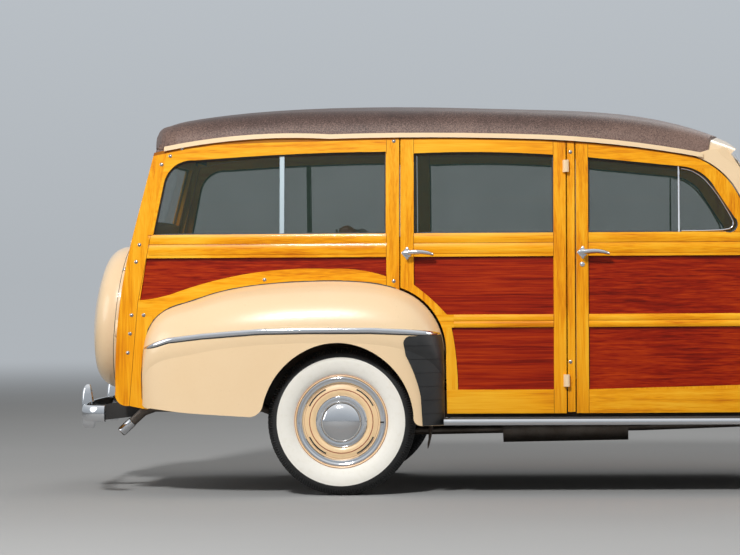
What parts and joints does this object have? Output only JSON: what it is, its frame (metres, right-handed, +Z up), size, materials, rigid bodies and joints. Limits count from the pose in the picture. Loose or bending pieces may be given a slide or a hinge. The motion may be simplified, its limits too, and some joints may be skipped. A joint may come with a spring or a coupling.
{
  "type": "late-1940s wood-bodied station wagon",
  "caption": "Wood-bodied station wagon with separate fenders, fabric roof, opening doors, hood and two-part rear gate, steering and turning wheels.",
  "frame": {"origin": "on the floor, half-way along and across the car", "axes": "+X forward, +Y to the car's left, +Z up"},
  "size_m": [5.0662, 1.8652, 1.901],
  "materials": {
    "maple": "satin varnish",
    "mahogany": "satin varnish",
    "glass": "clear",
    "body_paint": "gloss",
    "roof_fabric": "grained, satin",
    "floor_metal": "matt",
    "frame_black": "satin",
    "engine_paint": "matt",
    "bright_metal": "polished",
    "lamp": "clear",
    "step_rubber": "matt",
    "seat_leather": "satin",
    "exhaust_steel": "dull",
    "control_plastic": "gloss",
    "tyre": "matt, pale sidewall",
    "wheel_steel": "gloss"
  },
  "bodies": {
    "root": {"body_framing": "maple", "chassis_frame": "frame_black", "cowl_shell": "body_paint", "dashboard": "body_paint", "drip_rails": "body_paint", "engine": "engine_paint", "exhaust": "exhaust_steel", "fixed_glass": "glass", "floor": "floor_metal", "front_axle": "frame_black", "front_bumper": "bright_metal", "front_fenders": "body_paint", "fuel_tank": "frame_black", "grille": "bright_metal", "headlamps": "lamp", "nose_panel": "body_paint", "parking_lamps": "lamp", "quarter_panels": "mahogany", "radiator": "engine_paint", "rear_axle": "frame_black", "rear_bumper": "bright_metal", "rear_fenders": "body_paint", "roof": "roof_fabric", "running_boards": "step_rubber", "seats": "seat_leather", "steering_wheel": "control_plastic", "tail_lamps": "lamp"},
    "wheel_front_right": {"tyre_front_right": "tyre", "wheel_front_right": "wheel_steel"},
    "wheel_front_left": {"tyre_front_left": "tyre", "wheel_front_left": "wheel_steel"},
    "wheel_rear_right": {"tyre_rear_right": "tyre", "wheel_rear_right": "wheel_steel"},
    "wheel_rear_left": {"tyre_rear_left": "tyre", "wheel_rear_left": "wheel_steel"},
    "door_front_right": {"door_front_right_frame": "maple", "door_front_right_panels": "mahogany", "door_front_right_glass": "glass"},
    "door_front_left": {"door_front_left_frame": "maple", "door_front_left_panels": "mahogany", "door_front_left_glass": "glass"},
    "door_rear_right": {"door_rear_right_frame": "maple", "door_rear_right_panels": "mahogany", "door_rear_right_glass": "glass"},
    "door_rear_left": {"door_rear_left_frame": "maple", "door_rear_left_panels": "mahogany", "door_rear_left_glass": "glass"},
    "knuckle_right": {"knuckle_right": "frame_black"},
    "knuckle_left": {"knuckle_left": "frame_black"},
    "tie_rod": {"tie_rod": "frame_black"},
    "liftgate": {"liftgate_frame": "maple", "liftgate_glass": "glass"},
    "tailgate": {"tailgate_frame": "maple", "tailgate_panels": "mahogany", "spare_cover": "body_paint"},
    "hood": {"hood": "body_paint"}
  },
  "joints": [
    {"name": "door_front_right_hinge", "type": "hinge", "parent": "root", "child": "door_front_right", "pos_m": [0.839, -0.74224, 0.546], "axis": [0, 0.0222, 0.9998], "range_deg": [0, 65]},
    {"name": "door_front_left_hinge", "type": "hinge", "parent": "root", "child": "door_front_left", "pos_m": [0.839, 0.74224, 0.546], "axis": [0, 0.0222, -0.9998], "range_deg": [0, 65]},
    {"name": "door_rear_right_hinge", "type": "hinge", "parent": "root", "child": "door_rear_right", "pos_m": [-0.121, -0.78553, 0.546], "axis": [0, 0.045, 0.999], "range_deg": [0, 65]},
    {"name": "door_rear_left_hinge", "type": "hinge", "parent": "root", "child": "door_rear_left", "pos_m": [-0.121, 0.78553, 0.546], "axis": [0, 0.045, -0.999], "range_deg": [0, 65]},
    {"name": "liftgate_hinge", "type": "hinge", "parent": "root", "child": "liftgate", "pos_m": [-2.13, 0, 1.676], "axis": [0, 1, 0], "range_deg": [0, 72]},
    {"name": "tailgate_hinge", "type": "hinge", "parent": "root", "child": "tailgate", "pos_m": [-2.282, 0, 0.455], "axis": [0, -1, 0], "range_deg": [0, 24]},
    {"name": "hood_hinge", "type": "hinge", "parent": "root", "child": "hood", "pos_m": [1.0935, 0, 1.218], "axis": [0, -1, 0], "range_deg": [0, 50]},
    {"name": "steer_right", "type": "hinge", "parent": "root", "child": "knuckle_right", "pos_m": [1.692, -0.65, 0.355], "axis": [0, 0, 1], "range_deg": [-28, 28]},
    {"name": "steer_left", "type": "hinge", "parent": "root", "child": "knuckle_left", "pos_m": [1.692, 0.65, 0.355], "axis": [0, 0, 1], "range_deg": [-28, 28]},
    {"name": "tie_rod_pivot", "type": "hinge", "parent": "knuckle_left", "child": "tie_rod", "pos_m": [1.562, 0.65, 0.279], "axis": [0, 0, 1], "range_deg": [-28, 28]},
    {"name": "wheel_front_right_spin", "type": "hinge", "parent": "knuckle_right", "child": "wheel_front_right", "pos_m": [1.692, -0.7365, 0.355], "axis": [0, 1, 0], "continuous": true},
    {"name": "wheel_front_left_spin", "type": "hinge", "parent": "knuckle_left", "child": "wheel_front_left", "pos_m": [1.692, 0.7365, 0.355], "axis": [0, 1, 0], "continuous": true},
    {"name": "wheel_rear_right_spin", "type": "hinge", "parent": "root", "child": "wheel_rear_right", "pos_m": [-1.204, -0.762, 0.355], "axis": [0, 1, 0], "continuous": true},
    {"name": "wheel_rear_left_spin", "type": "hinge", "parent": "root", "child": "wheel_rear_left", "pos_m": [-1.204, 0.762, 0.355], "axis": [0, 1, 0], "continuous": true}
  ],
  "couplings": [
    {"joint": "steer_left", "follows": "steer_right", "ratio": 1},
    {"joint": "tie_rod_pivot", "follows": "steer_right", "ratio": -1}
  ]
}
